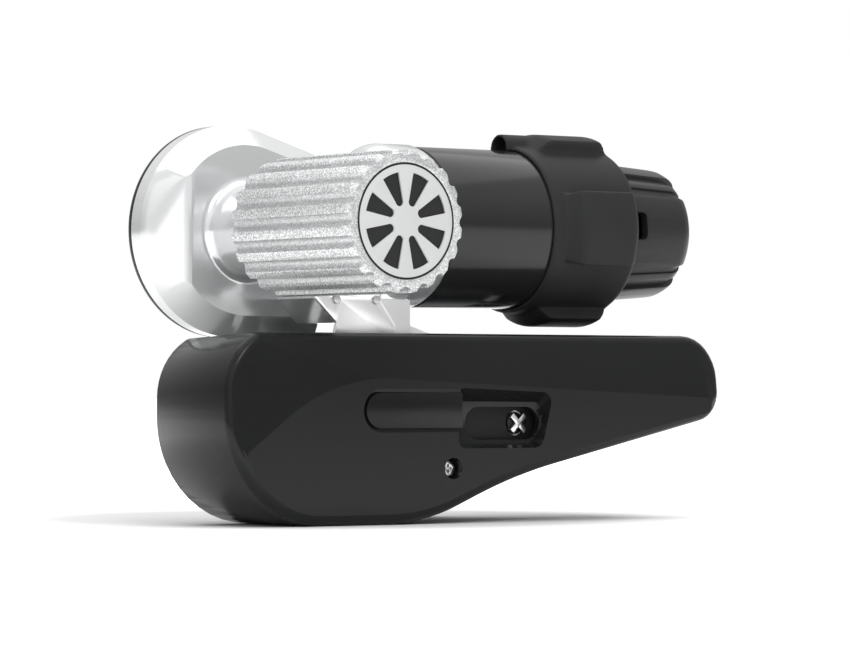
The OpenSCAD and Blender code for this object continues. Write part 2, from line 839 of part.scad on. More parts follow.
module motor_flange() {
    color("gainsboro") difference() {
        union() {
            turned_m() {
                translate([0, -flange_x]) square([flange_r - shoulder_r, flange_x + tube_x]);
                polygon([[0, -flange_x + shoulder_r], [flange_r, -flange_x + shoulder_r],
                    [flange_r, tube_x - flange_bevel], [motor_r - flange_rim, tube_x], [0, tube_x]]);
                translate([flange_r - shoulder_r, -flange_x + shoulder_r]) circle(r = shoulder_r);
            }
            slab(foot_y, face_y - over)
                translate([-flange_x, foot_z]) square([flange_x + foot_right, mz - foot_z]);
        }
        disc_m(out_bore_r, -flange_x - over, carrier_x);
        disc_m(carrier_r + 1, carrier_x - free_gap, ring_x + over);
        disc_m(ring_out_r, ring_x, tube_x + over);
    }
}

module ring_gear() {
    color("slategray") difference() {
        disc_m(ring_out_r, ring_x, ring_end);
        translate([ring_x - over, -motor_y, mz]) rotate([0, 90, 0]) rotate([0, 0, 180 / ring_teeth])
            linear_extrude(ring_end - ring_x + 2 * over)
                polygon(gear_outline(ring_teeth, planet_module, dedendum * planet_module,
                    addendum * planet_module, -tooth_play / 2));
    }
}

module motor_tube() {
    color([0.12, 0.125, 0.12]) ring_m(motor_r, tube_bore, tube_x, tube_end);
}

module motor_front_plate() {
    color("lightslategray")
        ring_m(tube_bore, motor_bearing_r, front_plate_x, front_plate_x + motor_bearing_w);
}

module motor_magnets() {
    color([0.25, 0.25, 0.27]) for (k = [0 : magnet_count - 1])
        sector_m(360 / magnet_count * k, magnet_half)
            translate([core_r + magnet_gap, core_x - 3]) square([magnet_t, core_len + 6]);
}

module front_bearing() {
    color("lightgray")
        ring_m(motor_bearing_r, motor_shaft_r + run_gap, front_plate_x, front_plate_x + motor_bearing_w);
}

module rear_bearing() {
    color("lightgray")
        ring_m(motor_bearing_r, motor_shaft_r + run_gap, rear_bearing_x, rear_bearing_x + motor_bearing_w);
}

// Two opposite boxes on the commutator, from one radius to another
module brush_boxes(width, inner, outer, length) {
    middle = comm_x + comm_len / 2;
    for (s = [-1, 1])
        translate([middle, -motor_y, mz + s * (inner + outer) / 2])
            cube([length, width, outer - inner], center = true);
}

module brush_holder() {
    wall = 2;
    color("tan") difference() {
        union() {
            ring_m(tube_bore, tube_bore - 5, comm_x - 1, comm_x + comm_len + 1);
            intersection() {
                brush_boxes(brush_w + 2 * wall, comm_r + 2, tube_bore, brush_w + 2 * wall);
                disc_m(tube_bore - 1, comm_x - 1, comm_x + comm_len + 1);
            }
        }
        brush_boxes(brush_w, comm_r, tube_bore - 6, brush_w);
    }
}

module brushes() {
    color([0.15, 0.15, 0.15])
        brush_boxes(brush_w, comm_r + brush_gap, comm_r + brush_gap + brush_len, brush_w);
}

module motor_end_bell() {
    color("lightslategray") difference() {
        disc_m(tube_bore, bell_x, tube_end);
        disc_m(tube_bore - 4, bell_x - over, rear_bearing_x);
        disc_m(motor_bearing_r, rear_bearing_x - over, rear_bearing_x + motor_bearing_w);
        disc_m(motor_shaft_r + over, bell_x, rear_bearing_x + motor_bearing_w + 2);
    }
}

// Arched cable outlet, drawn along X with its flat side on the tube
module arch(width, height, x0, x1) {
    translate([x0, -motor_y, mz + motor_r]) rotate([90, 0, 90]) linear_extrude(x1 - x0) {
        translate([0, height - width / 2]) circle(d = width);
        translate([-width / 2, -over]) square([width, height - width / 2 + over]);
    }
}

module rubber_boot() {
    chamfer = boot_r - lip_r;
    color([0.14, 0.145, 0.15]) difference() {
        union() {
            turned_m() polygon([[grip_r, boot_x], [boot_r, boot_x + 1.5], [boot_r, boot_end - chamfer],
                [lip_r, boot_end], [lip_bore, boot_end], [lip_bore, tube_end], [grip_r, tube_end]]);
            for (k = [0 : pad_count - 1])
                sector_m(360 / pad_count * k, pad_half)
                    polygon([[grip_r, pad_x], [pad_r - 1, pad_x + pad_slope],
                        [pad_r, pad_x + pad_slope + 2], [pad_r, boot_end - 9],
                        [pad_r - 2.5, boot_end - 6.5], [boot_r - 1, boot_end - chamfer],
                        [grip_r, boot_end - chamfer - 1]]);
            difference() {
                arch(snout_w, snout_h, boot_x - snout_out, pad_x + pad_slope);
                disc_m(grip_r, boot_x - snout_out - over, pad_x + pad_slope + over);
            }
        }
        difference() {
            arch(snout_w - 2 * snout_wall, snout_h - snout_wall, boot_x - snout_out - over, pad_x);
            disc_m(grip_r, boot_x - snout_out - 2 * over, pad_x + over);
        }
    }
}

// Profile of the end cap from an inner to an outer radius, tapered, with a rounded right end
module cap_profile(inner, r, start, end, fillet) {
    polygon(concat([[inner, start], [r, start]],
        [for (a = [0 : 15 : 90]) [r - cap_taper - fillet, end - fillet] + polar(fillet, a)],
        [[inner, end]]));
}

// Slot in the front of the end cap, with a rounded right side
module hand_slot() {
    translate([boot_end + over, mz - hand_slot_drop]) {
        square([hand_slot_w - hand_slot_round, hand_slot_h]);
        translate([0, hand_slot_round]) square([hand_slot_w, hand_slot_h - 2 * hand_slot_round]);
        for (z = [hand_slot_round, hand_slot_h - hand_slot_round])
            translate([hand_slot_w - hand_slot_round, z]) circle(r = hand_slot_round);
    }
}

module end_cap() {
    base_r = end_cap_r - lobe_step;
    hollow_r = base_r - end_cap_wall;
    color([0.19, 0.19, 0.2]) difference() {
        union() {
            turned_m() cap_profile(0, base_r, tube_end, end_cap_end - lobe_end, cap_fillet);
            for (k = [0 : lobe_count - 1])
                sector_m(360 / lobe_count * k, lobe_half)
                    cap_profile(lobe_in, end_cap_r, tube_end + over, end_cap_end, cap_fillet);
            for (k = [0 : lobe_count - 1])
                sector_m(360 / lobe_count * (k + 0.5), rib_half)
                    cap_profile(lobe_in, end_cap_r - lobe_step / 2, tube_end + over, end_cap_end - lobe_end / 2,
                        cap_fillet);
        }
        turned_m()
            cap_profile(0, hollow_r, tube_end - over, end_cap_end - lobe_end - end_cap_wall, cap_hollow);
        slab(motor_y + end_cap_r + over, motor_y + end_cap_r / 2) hand_slot();
    }
}

module carriage_plate() {
    shelf = foot_z + 11.3;
    color([0.89, 0.89, 0.89]) slab(sheet_front, foot_y) difference() {
        polygon([[foot_left, shelf + 3], [foot_left, foot_z + foot_rise], [foot_tip, foot_z],
            [foot_tip - 1.3, foot_z - 5], [block_x, block_low + 16], [block_x, block_low],
            [block_x + block_w, block_low], [block_x + block_w, block_top - 2],
            [block_x + block_w - ramp_run, block_top + 2],
            [foot_right + 9, foot_z - 4], [foot_right, foot_z - 1], [foot_right, shelf],
            [-flange_x - 2, shelf], [-flange_x - 2, shelf + 3]]);
        for (x = rivet_places)
            translate([x, rivet_z]) circle(r = rivet_r);
    }
}

module plate_rivets() {
    color("darkgray") for (x = rivet_places) {
        disc_y(x, rivet_z, rivet_r, sheet_front, foot_y - rivet_depth);
        disc_y(x, rivet_z, rivet_r + 0.4, sheet_front + 0.8, sheet_front);
    }
}

module front_slide_block() {
    color("lightsteelblue") difference() {
        union() {
            box([block_x, -block_front, block_low], [block_x + block_w, -sheet_front, block_top]);
            disc_y(spindle_x, spindle_z, chamber_r + chamber_wall, crown2_back + free_gap, sheet_front);
            disc_x(-screw_y, spindle_z, screw_r + screw_bush_wall + 3, block_x, spindle_x);
            box([block_x, -crown2_back - free_gap, spindle_z],
                [spindle_x + chamber_r, -sheet_front, block_low + over]);
        }
        disc_x(-rod_front, rod_z, bush_r, block_x - over, block_x + block_w + over);
        disc_y(spindle_x, spindle_z, chamber_r, crown2_back + free_gap + over, screw_y);
        disc_y(spindle_x, spindle_z, journal_r + run_gap, screw_y + over, sheet_front + 1);
        disc_x(-screw_y, spindle_z, screw_r + screw_bush_wall, block_x - over, screw_bush_end);
        disc_x(-screw_y, spindle_z, pinion2_r + crown_add * spindle_module + 1, screw_bush_end - 0.01,
            pinion2_x + pinion2_len / 2 + 1);
    }
}

module spindle_cover() {
    rim = chamber_r + chamber_wall;
    color("lightsteelblue") difference() {
        disc_y(spindle_x, spindle_z, rim, block_front, crown2_back + free_gap);
        disc_y(spindle_x, spindle_z, spindle_r + run_gap, block_front + over, crown2_back);
        box([spindle_x - rim, -block_front - over, block_low],
            [spindle_x + rim, -crown2_back, block_low + rim]);
    }
}

module rear_slide_block() {
    color("lightsteelblue") difference() {
        box([block_x, -foot_y, block_low], [block_x + block_w, -block_back, block_top]);
        disc_x(-rod_rear, rod_z, bush_r, block_x - over, block_x + block_w + over);
    }
}

module slide_bushes() {
    color("darkgoldenrod") for (y = [rod_front, rod_rear])
        difference() {
            disc_x(-y, rod_z, bush_r, block_x, block_x + block_w);
            disc_x(-y, rod_z, rod_d / 2 + run_gap, block_x - over, block_x + block_w + over);
        }
}

module screw_bush() {
    color("darkgoldenrod") difference() {
        disc_x(-screw_y, spindle_z, screw_r + screw_bush_wall, screw_bush_x, screw_bush_end);
        disc_x(-screw_y, spindle_z, screw_r + run_gap, screw_bush_x - over, screw_bush_end + over);
    }
}

module slot_shutter() {
    left = slot_left - 2;
    right = slot_right + travel + 2;
    color([0.1, 0.1, 0.1]) difference() {
        slab(block_front + shutter_t, block_front)
            translate([left, spindle_z - slot_r - 2.5]) square([right - left, 2 * slot_r + 5]);
        disc_y(spindle_x, spindle_z, cross_reach / 2 + free_gap,
            block_front + shutter_t + over, block_front - over);
    }
}

// Square key between the roller and its shaft
module key_blank() {
    box([rx - key_half, -roller_back - 26, rz + roller_bore - key_half],
        [rx + key_half, -roller_back - 6, rz + roller_bore + key_half]);
}

module drive_roller() {
    color("lightgray") difference() {
        turned_r() polygon([[roller_bore, roller_back], [roller_d / 2 - roller_chamfer, roller_back],
            [roller_d / 2, roller_back + roller_chamfer], [roller_d / 2, roller_front - roller_chamfer],
            [roller_d / 2 - roller_chamfer, roller_front], [cap_r, roller_front], [cap_r, mouth_floor],
            [roller_bore, mouth_floor]]);
        for (k = [0 : groove_count - 1])
            translate([rx, 0, rz]) rotate([0, 360 / groove_count * k, 0])
                translate([roller_d / 2, -roller_front - over, 0]) rotate([-90, 0, 0])
                    cylinder(r = groove_r, h = roller_len + 2 * over);
        key_blank();
    }
}

module roller_cap() {
    color([0.2, 0.21, 0.205]) {
        disc_y(rx, rz, cap_r, roller_front - trim_t, roller_front - cap_t);
        ring_y(rx, rz, cap_r, trim_d / 2, roller_front, roller_front - trim_t);
        ring_y(rx, rz, cap_r, cap_r - 2.5, roller_front - cap_t, mouth_floor);
    }
}

// One window of the trim disc: a wedge with a small round inner end
module window() {
    inner = 9.3;
    tip_r = 2.1;
    wide = window_r * tan(window_half);
    intersection() {
        circle(r = window_r);
        polygon([[inner, -tip_r], [window_r + over, -wide], [window_r + over, wide], [inner, tip_r]]);
    }
    translate([inner, 0]) circle(r = tip_r);
}

module trim_disc() {
    color([0.89, 0.89, 0.89]) translate([rx, 0, rz]) slab(roller_front, roller_front - trim_t) difference() {
        circle(r = trim_d / 2);
        for (k = [0 : window_count - 1])
            rotate(360 / window_count * (k + 0.5)) window();
    }
}

module roller_shaft() {
    color("silver") difference() {
        union() {
            disc_y(rx, rz, roller_bore, mouth_floor - 2, front_bearing_y + bearing_w);
            disc_y(rx, rz, shaft_r, front_bearing_y + bearing_w + over, tail_y + tail_bearing_w + 0.5);
            disc_y(rx, rz, tail_r, tail_y + tail_bearing_w + over, tail_y + 0.5);
        }
        disc_y(rx, rz, bolt_r, mouth_floor, mouth_floor - 2 - bolt_room);
        key_blank();
    }
}

module roller_key() {
    color("gray") key_blank();
}

module roller_bolt() {
    color("silver") {
        disc_y(rx, rz, bolt_r, mouth_floor + over, mouth_floor - bolt_room);
        ring_y(rx, rz, washer_r, bolt_r - 0.5, mouth_floor + 2.5, mouth_floor);
        translate([rx, -mouth_floor - 2.5, rz]) rotate([90, 0, 0]) cylinder(r = 7, h = 5.5, $fn = 6);
    }
}

module crown_gear() {
    color("slategray") translate([rx, -mesh_y, rz]) rotate([90, 0, 0])
        crown(crown_teeth, crown_module, crown_add, crown_face, crown_web, shaft_r, motor_lift,
            [-crown_skew, crown_skew]);
}

module armature_shaft() {
    color("silver") {
        translate([planet_x, -motor_y, mz]) rotate([0, 90, 0])
            spur(sun_teeth, planet_module, addendum, planet_end - planet_x, 1);
        disc_m(motor_shaft_r, planet_end - over, rear_bearing_x + motor_bearing_w);
    }
}

module armature_core() {
    slots = 12;
    color([0.45, 0.3, 0.2]) difference() {
        disc_m(core_r, core_x, core_x + core_len);
        disc_m(motor_shaft_r, core_x - over, core_x + core_len + over);
        for (k = [0 : slots - 1])
            translate([core_x - over, -motor_y, mz]) rotate([360 / slots * k, 0, 0])
                translate([0, -1.2, core_r - 8]) cube([core_len + 2 * over, 2.4, 9]);
    }
}

module commutator() {
    color([0.72, 0.45, 0.2]) ring_m(comm_r, motor_shaft_r, comm_x, comm_x + comm_len);
}

module planet_carrier() {
    color("slategray") {
        disc_m(carrier_r, carrier_x, carrier_x + carrier_t);
        disc_m(out_shaft_r, tunnel_x + 1, carrier_x + over);
        for (k = [0 : planet_count - 1])
            translate([carrier_x + over, -motor_y, mz]) rotate([360 / planet_count * k, 0, 0])
                translate([0, 0, orbit_r]) rotate([0, 90, 0])
                    cylinder(r = pin_r, h = planet_end - carrier_x - over);
    }
}

module drive_pinion() {
    color("slategray") translate([mesh_x - pinion_len / 2, -motor_y, mz]) rotate([0, 90, 0])
        rotate([0, 0, 90]) spur(pinion_teeth, crown_module, crown_add, pinion_len, out_shaft_r);
}

// Planet gear at its place on the carrier
module planet_gear(k) {
    color("lightslategray") translate([planet_x, -motor_y, mz]) rotate([360 / planet_count * k, 0, 0])
        translate([0, 0, orbit_r]) rotate([0, 90, 0]) rotate([0, 0, 180 / planet_teeth])
            spur(planet_teeth, planet_module, addendum, planet_end - planet_x, pin_r + run_gap);
}

module planet_gear_1() {
    planet_gear(0);
}

module planet_gear_2() {
    planet_gear(1);
}

module planet_gear_3() {
    planet_gear(2);
}

module cross_spindle() {
    color("silver") {
        disc_y(spindle_x, spindle_z, spindle_r, block_front + shutter_t, crown2_root);
        disc_y(spindle_x, spindle_z, journal_r, crown2_root + over, sheet_front + 1 + free_gap);
        for (turn = [45, -45])
            translate([spindle_x, -cross_depth + cross_out / 2, spindle_z]) rotate([0, turn, 0])
                cube([cross_reach, cross_out, cross_arm], center = true);
    }
}

module spindle_crown() {
    color("slategray") translate([spindle_x, -mesh2_y, spindle_z]) rotate([-90, 0, 0])
        rotate([0, 0, 180])
            crown(crown2_teeth, spindle_module, crown_add, crown2_face, crown2_back - crown2_root,
                spindle_r, 0, [0]);
}

module lead_screw() {
    color("silver") {
        disc_x(-screw_y, spindle_z, screw_r, screw_tip, pinion2_x);
        disc_x(-screw_y, spindle_z, collar_r, screw_bush_end + free_gap,
            screw_bush_end + free_gap + collar_t);
        translate([pinion2_x - pinion2_len / 2, -screw_y, spindle_z]) rotate([0, 90, 0])
            rotate([0, 0, 90]) spur(pinion2_teeth, spindle_module, crown_add, pinion2_len, 1);
    }
}

module screw_clip() {
    color("gray") difference() {
        disc_x(-screw_y, spindle_z, collar_r, block_x - free_gap - clip_t, block_x - free_gap);
        disc_x(-screw_y, spindle_z, screw_r, block_x - 2 * clip_t, block_x);
    }
}

back_plate();
left_cheek();
right_cheek();
guide_rods();
rod_clips();
screw_nut();
cover_post();
cover();
name_plate();
cover_screw();
gearbox_housing();
rear_cover();
gasket();
rear_cover_screws();
tail_bearing();
neck_bearing();
shaft_seal();
output_bearing();
motor_flange();
ring_gear();
motor_tube();
motor_front_plate();
motor_magnets();
front_bearing();
rear_bearing();
brush_holder();
brushes();
motor_end_bell();
rubber_boot();
end_cap();
carriage_plate();
plate_rivets();
front_slide_block();
rear_slide_block();
slide_bushes();
spindle_cover();
screw_bush();
slot_shutter();
drive_roller();
roller_cap();
trim_disc();
roller_shaft();
roller_key();
roller_bolt();
crown_gear();
armature_shaft();
armature_core();
commutator();
planet_carrier();
drive_pinion();
planet_gear_1();
planet_gear_2();
planet_gear_3();
cross_spindle();
spindle_crown();
lead_screw();
screw_clip();
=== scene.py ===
"""Looks of the caravan motor mover: the moulded cover, the ribbed roller, the gearbox, the motor with its
rubber boot and end cap, and the slide behind the cover, set on a pale studio floor."""

import json
import math

import bmesh
import bpy
from mathutils import Matrix, Vector

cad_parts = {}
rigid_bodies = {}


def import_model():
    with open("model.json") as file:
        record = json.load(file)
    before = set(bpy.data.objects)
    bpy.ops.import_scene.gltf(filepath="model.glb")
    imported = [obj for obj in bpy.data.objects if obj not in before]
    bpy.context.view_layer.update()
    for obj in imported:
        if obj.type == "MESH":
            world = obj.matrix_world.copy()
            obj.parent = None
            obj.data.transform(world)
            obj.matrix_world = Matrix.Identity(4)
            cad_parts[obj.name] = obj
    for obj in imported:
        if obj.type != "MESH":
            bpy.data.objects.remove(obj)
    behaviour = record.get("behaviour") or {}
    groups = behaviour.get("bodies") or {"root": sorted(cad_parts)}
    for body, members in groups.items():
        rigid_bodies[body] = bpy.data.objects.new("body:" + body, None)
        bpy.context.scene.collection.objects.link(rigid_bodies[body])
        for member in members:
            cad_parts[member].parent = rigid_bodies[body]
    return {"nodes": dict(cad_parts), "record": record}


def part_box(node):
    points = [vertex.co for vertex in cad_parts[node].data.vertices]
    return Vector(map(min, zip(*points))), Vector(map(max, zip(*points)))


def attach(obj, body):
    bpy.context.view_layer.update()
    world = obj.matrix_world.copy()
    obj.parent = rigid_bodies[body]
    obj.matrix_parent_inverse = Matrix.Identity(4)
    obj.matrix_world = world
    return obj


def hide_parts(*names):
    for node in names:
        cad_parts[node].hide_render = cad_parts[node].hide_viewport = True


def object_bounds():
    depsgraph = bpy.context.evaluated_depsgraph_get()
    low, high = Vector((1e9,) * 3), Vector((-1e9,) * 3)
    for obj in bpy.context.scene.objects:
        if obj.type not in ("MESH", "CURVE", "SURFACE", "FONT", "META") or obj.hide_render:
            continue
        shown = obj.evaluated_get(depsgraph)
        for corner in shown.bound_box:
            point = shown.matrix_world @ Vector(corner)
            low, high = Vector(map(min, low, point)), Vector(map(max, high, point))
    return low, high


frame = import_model()

bl_info = {
    "name": "Caravan motor mover",
    "version": (1, 0, 0),
    "blender": (4, 5, 0),
    "location": "3D View > Sidebar > Mover",
    "description": "Builds the finished pieces of a caravan motor mover on its solids",
    "category": "Object",
}

MM = 0.001
CAD_BOX = [list(corner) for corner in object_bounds()]


# Shader maths and materials


class Wire:
    """A socket of a finish, so that shader maths reads as an expression."""

    def __init__(self, finish, socket):
        self.finish = finish
        self.socket = socket

    def _math(self, operation, first, second):
        return self.finish.node("ShaderNodeMath", {"operation": operation}, {0: first, 1: second})

    def __add__(self, other):
        return self._math("ADD", self, other)

    def __radd__(self, other):
        return self._math("ADD", other, self)

    def __sub__(self, other):
        return self._math("SUBTRACT", self, other)

    def __rsub__(self, other):
        return self._math("SUBTRACT", other, self)

    def __mul__(self, other):
        return self._math("MULTIPLY", self, other)

    def __rmul__(self, other):
        return self._math("MULTIPLY", other, self)

    def sway(self, reach):
        """Swings about nought, by half a reach to each side."""
        return (self - 0.5) * reach


class Finish:
    """A material built round one Principled shader, or a world round its background."""

    def __init__(self, name, library=None, shader="Principled BSDF", **constants):
        shelf = bpy.data.materials if library is None else library
        self.material = shelf.new(name)
        self.material.use_nodes = True
        self.tree = self.material.node_tree
        self.shader = self.tree.nodes[shader]
        self.set(**constants)

    @classmethod
    def of_world(cls, name):
        return cls(name, bpy.data.worlds, "Background", Color=(1, 1, 1, 1))

    def node(self, kind, settings=None, inputs=None, output=0):
        """Adds a node, sets its settings first and its sockets after, and gives one of its outputs."""
        made = self.tree.nodes.new(kind)
        for key, value in (settings or {}).items():
            if key == "stops":
                for stop, (place, shade) in zip(made.color_ramp.elements, value, strict=True):
                    stop.position = place
                    stop.color = shade
            else:
                setattr(made, key, value)
        for key, value in (inputs or {}).items():
            self._feed(made.inputs[key], value)
        return Wire(self, made.outputs[output])

    def _feed(self, socket, value):
        if isinstance(value, Wire):
            self.tree.links.new(value.socket, socket)
        else:
            socket.default_value = value

    def set(self, **sockets):
        """Sets or links the shader's sockets, named with a low line for each space."""
        for key, value in sockets.items():
            self._feed(self.shader.inputs[key.replace("_", " ")], value)

    def place(self, scale=(1, 1, 1)):
        here = self.node("ShaderNodeTexCoord", output="Object")
        return self.node("ShaderNodeMapping", {}, {"Vector": here, "Scale": scale})

    def noise(self, scale, detail, rough=0.55, stretch=(1, 1, 1)):
        inputs = {"Vector": self.place(stretch), "Scale": scale, "Detail": detail, "Roughness": rough}
        return self.node("ShaderNodeTexNoise", {}, inputs)

    def cells(self, scale):
        """Small cells, each with a shade of its own."""
        colors = self.node("ShaderNodeTexVoronoi", {}, {"Vector": self.place(), "Scale": scale}, "Color")
        return self.node("ShaderNodeSeparateColor", {}, {"Color": colors})

    def ramp(self, value, dark, light):
        """Black up to one level and white from another."""
        stops = ((dark, (0, 0, 0, 1)), (light, (1, 1, 1, 1)))
        return self.node("ShaderNodeValToRGB", {"stops": stops}, {"Fac": value})

    def spread(self, value, low, high, first=0.0, last=1.0):
        """Goes from first to last while a value goes from low to high."""
        inputs = {"Value": value, "From Min": low, "From Max": high, "To Min": first, "To Max": last}
        return self.node("ShaderNodeMapRange", {}, inputs)

    def along(self, vector, axis):
        """One part of a vector."""
        return self.node("ShaderNodeSeparateXYZ", {}, {"Vector": vector}, axis)

    def level(self, share, first, second):
        """A number between two others."""
        return self.node("ShaderNodeMix", {}, {0: share, 2: first, 3: second})

    def between(self, share, first, second):
        """A colour between two others."""
        return self.node("ShaderNodeMix", {"data_type": "RGBA"}, {0: share, 6: first, 7: second}, 2)

    def shades(self, share, color, dark, light):
        """A colour that goes from a darker to a lighter shade of itself."""
        return self.between(share, tint(color, dark), tint(color, light))

    def bump(self, height, strength, depth):
        return self.node("ShaderNodeBump", {}, {"Height": height, "Strength": strength, "Distance": depth})


def tint(color, gain):
    """A colour made lighter or darker by a gain."""
    return tuple(min(1.0, part * gain) for part in color[:3]) + (1.0,)


def moulded(name, color, rough, grain):
    """Moulded plastic: a fine grain and a slow change of gloss."""
    made = Finish(name, Specular_IOR_Level=0.2)
    slow = made.noise(scale=14, detail=2)
    fine = made.noise(scale=grain, detail=2, rough=0.6)
    made.set(
        Base_Color=made.shades(slow, color, dark=0.9, light=1.1),
        Roughness=rough + slow.sway(0.25 * rough) + fine.sway(0.3 * rough),
        Normal=made.bump(fine, strength=0.12, depth=0.1 * MM),
    )
    return made.material


def cast_metal(name, color, rough, metal=1.0):
    """Die cast aluminium or zinc, satin, with a slow cloud and a very fine skin."""
    made = Finish(name, Metallic=metal)
    cloud = made.noise(scale=22, detail=3)
    skin = made.noise(scale=1500, detail=2, rough=0.6)
    made.set(
        Base_Color=made.shades(cloud, color, dark=0.95, light=1.04),
        Roughness=rough + cloud.sway(0.06) + skin.sway(0.06),
        Normal=made.bump(skin, strength=0.02, depth=0.1 * MM),
    )
    return made.material


def sparkling_metal(name, color, rough, axis, low, high):
    """Rough aluminium with grains that catch the light one by one as painted glints, and painted shade that
    makes it darker in the grooves round an axis.
    """
    made = Finish(name, Metallic=0.8)
    # Painted shade: the base colour darkens from the rib crests down into the grooves, standing in for the
    # shade between the ribs.
    across = made.place((1, 0, 1))
    out = made.node("ShaderNodeVectorMath", {"operation": "DISTANCE"}, {0: across, 1: axis}, "Value")
    ridge = made.spread(out, low, high, first=0.55)
    grain = made.noise(scale=1500, detail=3, rough=0.7)
    glint = made.cells(scale=2000)
    # Painted glints: each grain's base colour is made lighter or darker, standing in for the light it
    # catches; the bump from the same cells is real relief.
    painted_glint = made.ramp(glint, dark=0.3, light=0.85)
    made.set(
        Base_Color=made.shades(ridge * painted_glint, color, dark=0.62, light=1.3),
        Roughness=rough + grain.sway(0.3),
        Normal=made.bump(grain + 0.8 * glint, strength=0.5, depth=0.4 * MM),
    )
    return made.material


def turned_steel(name, color, rough, stretch=(1, 1, 1)):
    """Machined steel with fine tool lines."""
    made = Finish(name, Metallic=1.0)
    lines = made.noise(scale=320, detail=2, rough=0.6, stretch=stretch)
    cloud = made.noise(scale=30, detail=3)
    made.set(
        Base_Color=made.shades(cloud, color, dark=0.88, light=1.08),
        Roughness=rough + lines.sway(0.2) + cloud.sway(0.1),
        Normal=made.bump(lines, strength=0.1, depth=0.1 * MM),
    )
    return made.material


def painted(name, color, rough, peel):
    """Paint on metal, with orange peel and a slow change of gloss."""
    made = Finish(name, Specular_IOR_Level=0.32)
    skin = made.noise(scale=260, detail=2)
    cloud = made.noise(scale=12, detail=3)
    made.set(
        Base_Color=made.shades(cloud, color, dark=0.92, light=1.06),
        Roughness=rough + cloud.sway(0.3 * rough),
        Normal=made.bump(skin, strength=peel, depth=0.2 * MM),
    )
    return made.material


def rubber(name, color, rough):
    """Soft black rubber with a dusty bloom."""
    made = Finish(name, Specular_IOR_Level=0.12)
    bloom = made.noise(scale=40, detail=4, rough=0.6)
    skin = made.noise(scale=1400, detail=2)
    made.set(
        Base_Color=made.shades(bloom, color, dark=0.85, light=1.25),
        Roughness=rough + bloom.sway(0.16),
        Normal=made.bump(skin, strength=0.1, depth=0.2 * MM),
    )
    return made.material


def windings(name, color, rough):
    """Lacquered laminations with copper wire in the slots."""
    made = Finish(name, Metallic=0.6)
    bands = {"Vector": made.place(), "Scale": 260}
    sheets = made.node("ShaderNodeTexWave", {"bands_direction": "X"}, bands)
    cloud = made.noise(scale=60, detail=3)
    made.set(
        Base_Color=made.shades(sheets * cloud, color, dark=0.6, light=1.2),
        Roughness=rough + cloud.sway(0.3),
        Normal=made.bump(sheets, strength=0.3, depth=0.2 * MM),
    )
    return made.material


def cross_steel(name, bright, black, front, arm):
    """Bright steel on the arms of the cross, and blackened steel behind them."""
    made = Finish(name, Metallic=1.0)
    depth = made.along(made.place(), "Y")
    sunk = made.spread(depth, front + 0.75 * arm, front + arm)
    made.set(
        Base_Color=made.between(sunk, bright, black),
        Roughness=0.3 + 0.15 * sunk + made.noise(scale=400, detail=2).sway(0.1),
    )
    return made.material


# Modelling by hand

WELD = 0.002 * MM  # vertices nearer to each other than this are one
FLAT_ANGLE = math.radians(0.4)  # faces that turn by less than this are one flat face
SQUARE = 0.9999  # a face looks straight along an axis when its normal has this much of it
NEAR = 0.05 * MM  # a face nearer to a plane than this lies on it


def alone(piece):
    """Selects one object and makes it the active one."""
    if bpy.context.mode != "OBJECT":
        bpy.ops.object.mode_set(mode="OBJECT")
    bpy.ops.object.select_all(action="DESELECT")
    piece.select_set(True)
    bpy.context.view_layer.objects.active = piece


def edit(piece):
    """Opens a piece in edit mode with everything selected."""
    alone(piece)
    bpy.ops.object.mode_set(mode="EDIT")
    bpy.ops.mesh.select_mode(type="VERT")
    bpy.ops.mesh.select_all(action="SELECT")


def choose(piece, kind, test):
    """In edit mode, selects the vertices, edges or faces that pass a test."""
    bpy.ops.mesh.select_all(action="DESELECT")
    bpy.ops.mesh.select_mode(type={"verts": "VERT", "edges": "EDGE", "faces": "FACE"}[kind])
    mesh = bmesh.from_edit_mesh(piece.data)
    for item in getattr(mesh, kind):
        item.select_set(test(item))
    mesh.select_flush_mode()
    bmesh.update_edit_mesh(piece.data)


def cut(place, across):
    """In edit mode, cuts all the faces along a plane."""
    bpy.ops.mesh.select_all(action="SELECT")
    bpy.ops.mesh.bisect(plane_co=place, plane_no=across)


def close():
    """Leaves edit mode."""
    bpy.ops.object.mode_set(mode="OBJECT")


def middle_of(node):
    return sum(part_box(node), Vector()) / 2


def body_of(node):
    return next(body for body, nodes in frame["record"]["behaviour"]["bodies"].items() if node in nodes)


def slot_of(node):
    return next(part["material_slot"] for part in frame["record"]["subparts"] if part["node"] == node)


def copy_node(node, name, cuts=()):
    """A copy of a solid with its loose triangles merged and its flat faces whole again. Level cuts through
    the openings of a flat face keep the whole faces free of holes."""
    alone(frame["nodes"][node])
    bpy.ops.object.duplicate()
    piece = bpy.context.active_object
    piece.name = name
    piece.data.name = name
    bpy.ops.object.parent_clear(type="CLEAR_KEEP_TRANSFORM")
    for key in list(piece.keys()):
        del piece[key]
    edit(piece)
    bpy.ops.mesh.customdata_custom_splitnormals_clear()
    bpy.ops.mesh.remove_doubles(threshold=WELD)
    for level in cuts:
        cut((0, 0, level), (0, 0, 1))
        bpy.ops.mesh.mark_seam()
    bpy.ops.mesh.select_all(action="SELECT")
    bpy.ops.mesh.dissolve_limited(angle_limit=FLAT_ANGLE, delimit={"SEAM"})
    close()
    return piece


def modify(piece, kind, **settings):
    """Adds a modifier and applies it."""
    alone(piece)
    modifier = piece.modifiers.new(kind.title(), kind)
    for key, value in settings.items():
        setattr(modifier, key, value)
    bpy.ops.object.modifier_apply(modifier=modifier.name)


def soften(piece, edge, steps=2, angle=40):
    """Rounds the edges that are sharper than an angle."""
    modify(piece, "BEVEL", width=edge, segments=steps, limit_method="ANGLE", angle_limit=math.radians(angle),
           use_clamp_overlap=True, miter_outer="MITER_ARC")


def smooth(piece, angle=32):
    """Shades a piece smooth, apart from the edges that are sharper than an angle."""
    alone(piece)
    bpy.ops.object.shade_smooth_by_angle(angle=math.radians(angle), keep_sharp_edges=True)


